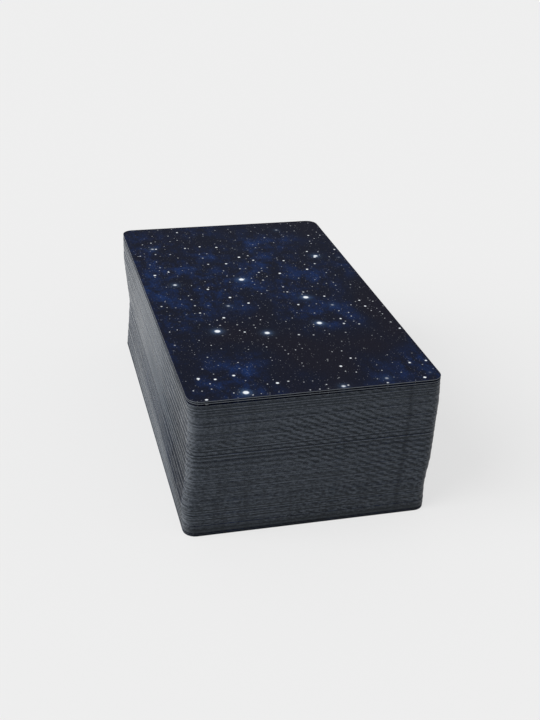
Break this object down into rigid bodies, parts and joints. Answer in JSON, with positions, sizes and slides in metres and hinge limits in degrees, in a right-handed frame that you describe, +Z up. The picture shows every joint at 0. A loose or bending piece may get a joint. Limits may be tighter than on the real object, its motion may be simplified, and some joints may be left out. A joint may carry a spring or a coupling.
{
  "type": "oracle card deck",
  "caption": "Squared stack of round-cornered oracle cards lying backs up, with a dark starry back on top and grey edges; each card or pair slides lengthwise on the one below.",
  "frame": {"origin": "middle of the underside, where the bottom card rests", "axes": "+Z up through the stack, +Y along the cards' length away from the short front end"},
  "size_m": [0.0728, 0.1214, 0.0426],
  "materials": {
    "back_print": "satin laminate over a near-black navy print with white stars",
    "card_stock": "cut edges of dark-core coated card, matt"
  },
  "bodies": {
    "bottom_card": {"bottom_card": "card_stock"},
    "lower_card_01": {"lower_card_01": "card_stock"},
    "card_pair_01": {"card_pair_01": "card_stock"},
    "card_pair_02": {"card_pair_02": "card_stock"},
    "card_pair_03": {"card_pair_03": "card_stock"},
    "card_pair_04": {"card_pair_04": "card_stock"},
    "card_pair_05": {"card_pair_05": "card_stock"},
    "card_pair_06": {"card_pair_06": "card_stock"},
    "card_pair_07": {"card_pair_07": "card_stock"},
    "card_pair_08": {"card_pair_08": "card_stock"},
    "card_pair_09": {"card_pair_09": "card_stock"},
    "card_pair_10": {"card_pair_10": "card_stock"},
    "card_pair_11": {"card_pair_11": "card_stock"},
    "card_pair_12": {"card_pair_12": "card_stock"},
    "card_pair_13": {"card_pair_13": "card_stock"},
    "card_pair_14": {"card_pair_14": "card_stock"},
    "card_pair_15": {"card_pair_15": "card_stock"},
    "card_pair_16": {"card_pair_16": "card_stock"},
    "card_pair_17": {"card_pair_17": "card_stock"},
    "card_pair_18": {"card_pair_18": "card_stock"},
    "card_pair_19": {"card_pair_19": "card_stock"},
    "card_pair_20": {"card_pair_20": "card_stock"},
    "card_pair_21": {"card_pair_21": "card_stock"},
    "card_pair_22": {"card_pair_22": "card_stock"},
    "card_pair_23": {"card_pair_23": "card_stock"},
    "card_pair_24": {"card_pair_24": "card_stock"},
    "card_pair_25": {"card_pair_25": "card_stock"},
    "card_pair_26": {"card_pair_26": "card_stock"},
    "card_pair_27": {"card_pair_27": "card_stock"},
    "card_pair_28": {"card_pair_28": "card_stock"},
    "card_pair_29": {"card_pair_29": "card_stock"},
    "card_pair_30": {"card_pair_30": "card_stock"},
    "card_pair_31": {"card_pair_31": "card_stock"},
    "card_pair_32": {"card_pair_32": "card_stock"},
    "card_pair_33": {"card_pair_33": "card_stock"},
    "card_pair_34": {"card_pair_34": "card_stock"},
    "card_pair_35": {"card_pair_35": "card_stock"},
    "card_pair_36": {"card_pair_36": "card_stock"},
    "card_pair_37": {"card_pair_37": "card_stock"},
    "card_pair_38": {"card_pair_38": "card_stock"},
    "card_pair_39": {"card_pair_39": "card_stock"},
    "card_pair_40": {"card_pair_40": "card_stock"},
    "card_pair_41": {"card_pair_41": "card_stock"},
    "card_pair_42": {"card_pair_42": "card_stock"},
    "card_pair_43": {"card_pair_43": "card_stock"},
    "card_pair_44": {"card_pair_44": "card_stock"},
    "card_pair_45": {"card_pair_45": "card_stock"},
    "card_pair_46": {"card_pair_46": "card_stock"},
    "card_pair_47": {"card_pair_47": "card_stock"},
    "card_pair_48": {"card_pair_48": "card_stock"},
    "upper_card_01": {"upper_card_01": "card_stock"},
    "upper_card_02": {"upper_card_02": "card_stock"},
    "upper_card_03": {"upper_card_03": "card_stock"},
    "upper_card_04": {"upper_card_04": "card_stock"},
    "upper_card_05": {"upper_card_05": "card_stock"},
    "upper_card_06": {"upper_card_06": "card_stock"},
    "upper_card_07": {"upper_card_07": "card_stock"},
    "upper_card_08": {"upper_card_08": "card_stock"},
    "upper_card_09": {"upper_card_09": "card_stock"},
    "top_card": {"top_card": "back_print"}
  },
  "joints": [
    {"name": "deal_top_card", "type": "slide", "parent": "upper_card_09", "child": "top_card", "axis": [0, 1, 0], "range_m": [-0.055, 0.055]},
    {"name": "deal_upper_card_09", "type": "slide", "parent": "upper_card_08", "child": "upper_card_09", "axis": [0, -1, 0], "range_m": [-0.055, 0.055]},
    {"name": "deal_upper_card_08", "type": "slide", "parent": "upper_card_07", "child": "upper_card_08", "axis": [0, 1, 0], "range_m": [-0.055, 0.055]},
    {"name": "deal_upper_card_07", "type": "slide", "parent": "upper_card_06", "child": "upper_card_07", "axis": [0, -1, 0], "range_m": [-0.055, 0.055]},
    {"name": "deal_upper_card_06", "type": "slide", "parent": "upper_card_05", "child": "upper_card_06", "axis": [0, 1, 0], "range_m": [-0.055, 0.055]},
    {"name": "deal_upper_card_05", "type": "slide", "parent": "upper_card_04", "child": "upper_card_05", "axis": [0, -1, 0], "range_m": [-0.055, 0.055]},
    {"name": "deal_upper_card_04", "type": "slide", "parent": "upper_card_03", "child": "upper_card_04", "axis": [0, 1, 0], "range_m": [-0.055, 0.055]},
    {"name": "deal_upper_card_03", "type": "slide", "parent": "upper_card_02", "child": "upper_card_03", "axis": [0, -1, 0], "range_m": [-0.055, 0.055]},
    {"name": "deal_upper_card_02", "type": "slide", "parent": "upper_card_01", "child": "upper_card_02", "axis": [0, 1, 0], "range_m": [-0.055, 0.055]},
    {"name": "deal_upper_card_01", "type": "slide", "parent": "card_pair_48", "child": "upper_card_01", "axis": [0, -1, 0], "range_m": [-0.055, 0.055]},
    {"name": "slide_card_pair_48", "type": "slide", "parent": "card_pair_47", "child": "card_pair_48", "axis": [0, 1, 0], "range_m": [-0.055, 0.055]},
    {"name": "slide_card_pair_47", "type": "slide", "parent": "card_pair_46", "child": "card_pair_47", "axis": [0, -1, 0], "range_m": [-0.055, 0.055]},
    {"name": "slide_card_pair_46", "type": "slide", "parent": "card_pair_45", "child": "card_pair_46", "axis": [0, 1, 0], "range_m": [-0.055, 0.055]},
    {"name": "slide_card_pair_45", "type": "slide", "parent": "card_pair_44", "child": "card_pair_45", "axis": [0, -1, 0], "range_m": [-0.055, 0.055]},
    {"name": "slide_card_pair_44", "type": "slide", "parent": "card_pair_43", "child": "card_pair_44", "axis": [0, 1, 0], "range_m": [-0.055, 0.055]},
    {"name": "slide_card_pair_43", "type": "slide", "parent": "card_pair_42", "child": "card_pair_43", "axis": [0, -1, 0], "range_m": [-0.055, 0.055]},
    {"name": "slide_card_pair_42", "type": "slide", "parent": "card_pair_41", "child": "card_pair_42", "axis": [0, 1, 0], "range_m": [-0.055, 0.055]},
    {"name": "slide_card_pair_41", "type": "slide", "parent": "card_pair_40", "child": "card_pair_41", "axis": [0, -1, 0], "range_m": [-0.055, 0.055]},
    {"name": "slide_card_pair_40", "type": "slide", "parent": "card_pair_39", "child": "card_pair_40", "axis": [0, 1, 0], "range_m": [-0.055, 0.055]},
    {"name": "slide_card_pair_39", "type": "slide", "parent": "card_pair_38", "child": "card_pair_39", "axis": [0, -1, 0], "range_m": [-0.055, 0.055]},
    {"name": "slide_card_pair_38", "type": "slide", "parent": "card_pair_37", "child": "card_pair_38", "axis": [0, 1, 0], "range_m": [-0.055, 0.055]},
    {"name": "slide_card_pair_37", "type": "slide", "parent": "card_pair_36", "child": "card_pair_37", "axis": [0, -1, 0], "range_m": [-0.055, 0.055]},
    {"name": "slide_card_pair_36", "type": "slide", "parent": "card_pair_35", "child": "card_pair_36", "axis": [0, 1, 0], "range_m": [-0.055, 0.055]},
    {"name": "slide_card_pair_35", "type": "slide", "parent": "card_pair_34", "child": "card_pair_35", "axis": [0, -1, 0], "range_m": [-0.055, 0.055]},
    {"name": "slide_card_pair_34", "type": "slide", "parent": "card_pair_33", "child": "card_pair_34", "axis": [0, 1, 0], "range_m": [-0.055, 0.055]},
    {"name": "slide_card_pair_33", "type": "slide", "parent": "card_pair_32", "child": "card_pair_33", "axis": [0, -1, 0], "range_m": [-0.055, 0.055]},
    {"name": "slide_card_pair_32", "type": "slide", "parent": "card_pair_31", "child": "card_pair_32", "axis": [0, 1, 0], "range_m": [-0.055, 0.055]},
    {"name": "slide_card_pair_31", "type": "slide", "parent": "card_pair_30", "child": "card_pair_31", "axis": [0, -1, 0], "range_m": [-0.055, 0.055]},
    {"name": "slide_card_pair_30", "type": "slide", "parent": "card_pair_29", "child": "card_pair_30", "axis": [0, 1, 0], "range_m": [-0.055, 0.055]},
    {"name": "slide_card_pair_29", "type": "slide", "parent": "card_pair_28", "child": "card_pair_29", "axis": [0, -1, 0], "range_m": [-0.055, 0.055]},
    {"name": "slide_card_pair_28", "type": "slide", "parent": "card_pair_27", "child": "card_pair_28", "axis": [0, 1, 0], "range_m": [-0.055, 0.055]},
    {"name": "slide_card_pair_27", "type": "slide", "parent": "card_pair_26", "child": "card_pair_27", "axis": [0, -1, 0], "range_m": [-0.055, 0.055]},
    {"name": "slide_card_pair_26", "type": "slide", "parent": "card_pair_25", "child": "card_pair_26", "axis": [0, 1, 0], "range_m": [-0.055, 0.055]},
    {"name": "slide_card_pair_25", "type": "slide", "parent": "card_pair_24", "child": "card_pair_25", "axis": [0, -1, 0], "range_m": [-0.055, 0.055]},
    {"name": "slide_card_pair_24", "type": "slide", "parent": "card_pair_23", "child": "card_pair_24", "axis": [0, 1, 0], "range_m": [-0.055, 0.055]},
    {"name": "slide_card_pair_23", "type": "slide", "parent": "card_pair_22", "child": "card_pair_23", "axis": [0, -1, 0], "range_m": [-0.055, 0.055]},
    {"name": "slide_card_pair_22", "type": "slide", "parent": "card_pair_21", "child": "card_pair_22", "axis": [0, 1, 0], "range_m": [-0.055, 0.055]},
    {"name": "slide_card_pair_21", "type": "slide", "parent": "card_pair_20", "child": "card_pair_21", "axis": [0, -1, 0], "range_m": [-0.055, 0.055]},
    {"name": "slide_card_pair_20", "type": "slide", "parent": "card_pair_19", "child": "card_pair_20", "axis": [0, 1, 0], "range_m": [-0.055, 0.055]},
    {"name": "slide_card_pair_19", "type": "slide", "parent": "card_pair_18", "child": "card_pair_19", "axis": [0, -1, 0], "range_m": [-0.055, 0.055]},
    {"name": "slide_card_pair_18", "type": "slide", "parent": "card_pair_17", "child": "card_pair_18", "axis": [0, 1, 0], "range_m": [-0.055, 0.055]},
    {"name": "slide_card_pair_17", "type": "slide", "parent": "card_pair_16", "child": "card_pair_17", "axis": [0, -1, 0], "range_m": [-0.055, 0.055]},
    {"name": "slide_card_pair_16", "type": "slide", "parent": "card_pair_15", "child": "card_pair_16", "axis": [0, 1, 0], "range_m": [-0.055, 0.055]},
    {"name": "slide_card_pair_15", "type": "slide", "parent": "card_pair_14", "child": "card_pair_15", "axis": [0, -1, 0], "range_m": [-0.055, 0.055]},
    {"name": "slide_card_pair_14", "type": "slide", "parent": "card_pair_13", "child": "card_pair_14", "axis": [0, 1, 0], "range_m": [-0.055, 0.055]},
    {"name": "slide_card_pair_13", "type": "slide", "parent": "card_pair_12", "child": "card_pair_13", "axis": [0, -1, 0], "range_m": [-0.055, 0.055]},
    {"name": "slide_card_pair_12", "type": "slide", "parent": "card_pair_11", "child": "card_pair_12", "axis": [0, 1, 0], "range_m": [-0.055, 0.055]},
    {"name": "slide_card_pair_11", "type": "slide", "parent": "card_pair_10", "child": "card_pair_11", "axis": [0, -1, 0], "range_m": [-0.055, 0.055]},
    {"name": "slide_card_pair_10", "type": "slide", "parent": "card_pair_09", "child": "card_pair_10", "axis": [0, 1, 0], "range_m": [-0.055, 0.055]},
    {"name": "slide_card_pair_09", "type": "slide", "parent": "card_pair_08", "child": "card_pair_09", "axis": [0, -1, 0], "range_m": [-0.055, 0.055]},
    {"name": "slide_card_pair_08", "type": "slide", "parent": "card_pair_07", "child": "card_pair_08", "axis": [0, 1, 0], "range_m": [-0.055, 0.055]},
    {"name": "slide_card_pair_07", "type": "slide", "parent": "card_pair_06", "child": "card_pair_07", "axis": [0, -1, 0], "range_m": [-0.055, 0.055]},
    {"name": "slide_card_pair_06", "type": "slide", "parent": "card_pair_05", "child": "card_pair_06", "axis": [0, 1, 0], "range_m": [-0.055, 0.055]},
    {"name": "slide_card_pair_05", "type": "slide", "parent": "card_pair_04", "child": "card_pair_05", "axis": [0, -1, 0], "range_m": [-0.055, 0.055]},
    {"name": "slide_card_pair_04", "type": "slide", "parent": "card_pair_03", "child": "card_pair_04", "axis": [0, 1, 0], "range_m": [-0.055, 0.055]},
    {"name": "slide_card_pair_03", "type": "slide", "parent": "card_pair_02", "child": "card_pair_03", "axis": [0, -1, 0], "range_m": [-0.055, 0.055]},
    {"name": "slide_card_pair_02", "type": "slide", "parent": "card_pair_01", "child": "card_pair_02", "axis": [0, 1, 0], "range_m": [-0.055, 0.055]},
    {"name": "slide_card_pair_01", "type": "slide", "parent": "lower_card_01", "child": "card_pair_01", "axis": [0, -1, 0], "range_m": [-0.055, 0.055]},
    {"name": "slide_lower_card_01", "type": "slide", "parent": "bottom_card", "child": "lower_card_01", "axis": [0, 1, 0], "range_m": [-0.055, 0.055]}
  ]
}
